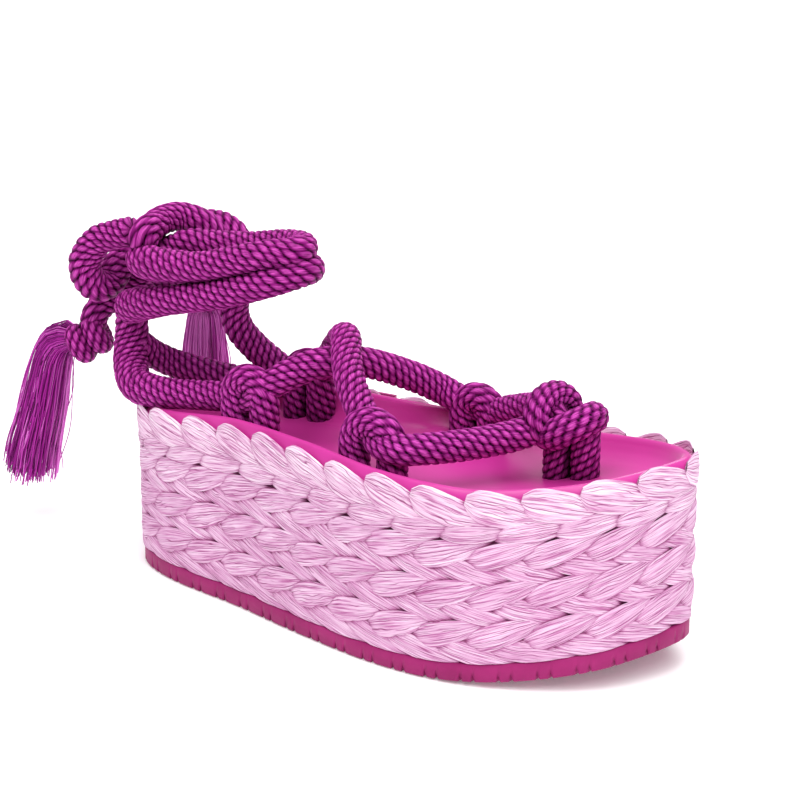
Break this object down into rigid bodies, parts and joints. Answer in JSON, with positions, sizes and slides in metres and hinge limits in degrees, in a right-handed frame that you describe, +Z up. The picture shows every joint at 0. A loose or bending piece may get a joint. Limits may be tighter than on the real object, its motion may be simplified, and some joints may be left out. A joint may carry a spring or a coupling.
{
  "type": "platform gladiator sandal",
  "caption": "Right platform sandal with knotted rope straps, ankle wraps and a tasselled bow on a raffia-wrapped platform with a dished footbed and a grooved rubber outsole.",
  "frame": {"origin": "on the floor, under the middle of the sandal without its bow and tassels", "axes": "+X from heel to toe, +Y to the inner side of the foot, +Z up"},
  "size_m": [0.3375, 0.1032, 0.1495],
  "materials": {
    "rope": "satin braided rope",
    "raffia": "dyed fibre, matte",
    "moulded_footbed": "smooth satin",
    "outsole_rubber": "matte",
    "seam_leather": "satin"
  },
  "bodies": {
    "root": {"outsole": "outsole_rubber", "raffia_platform": "raffia", "footbed": "moulded_footbed", "rope_upper": "rope", "bow_knot": "rope", "bow_left": "rope", "bow_right": "rope", "stopper_left": "rope", "stopper_right": "rope", "tassel_left": "rope", "tassel_right": "rope", "seam_strip": "seam_leather"}
  },
  "joints": []
}
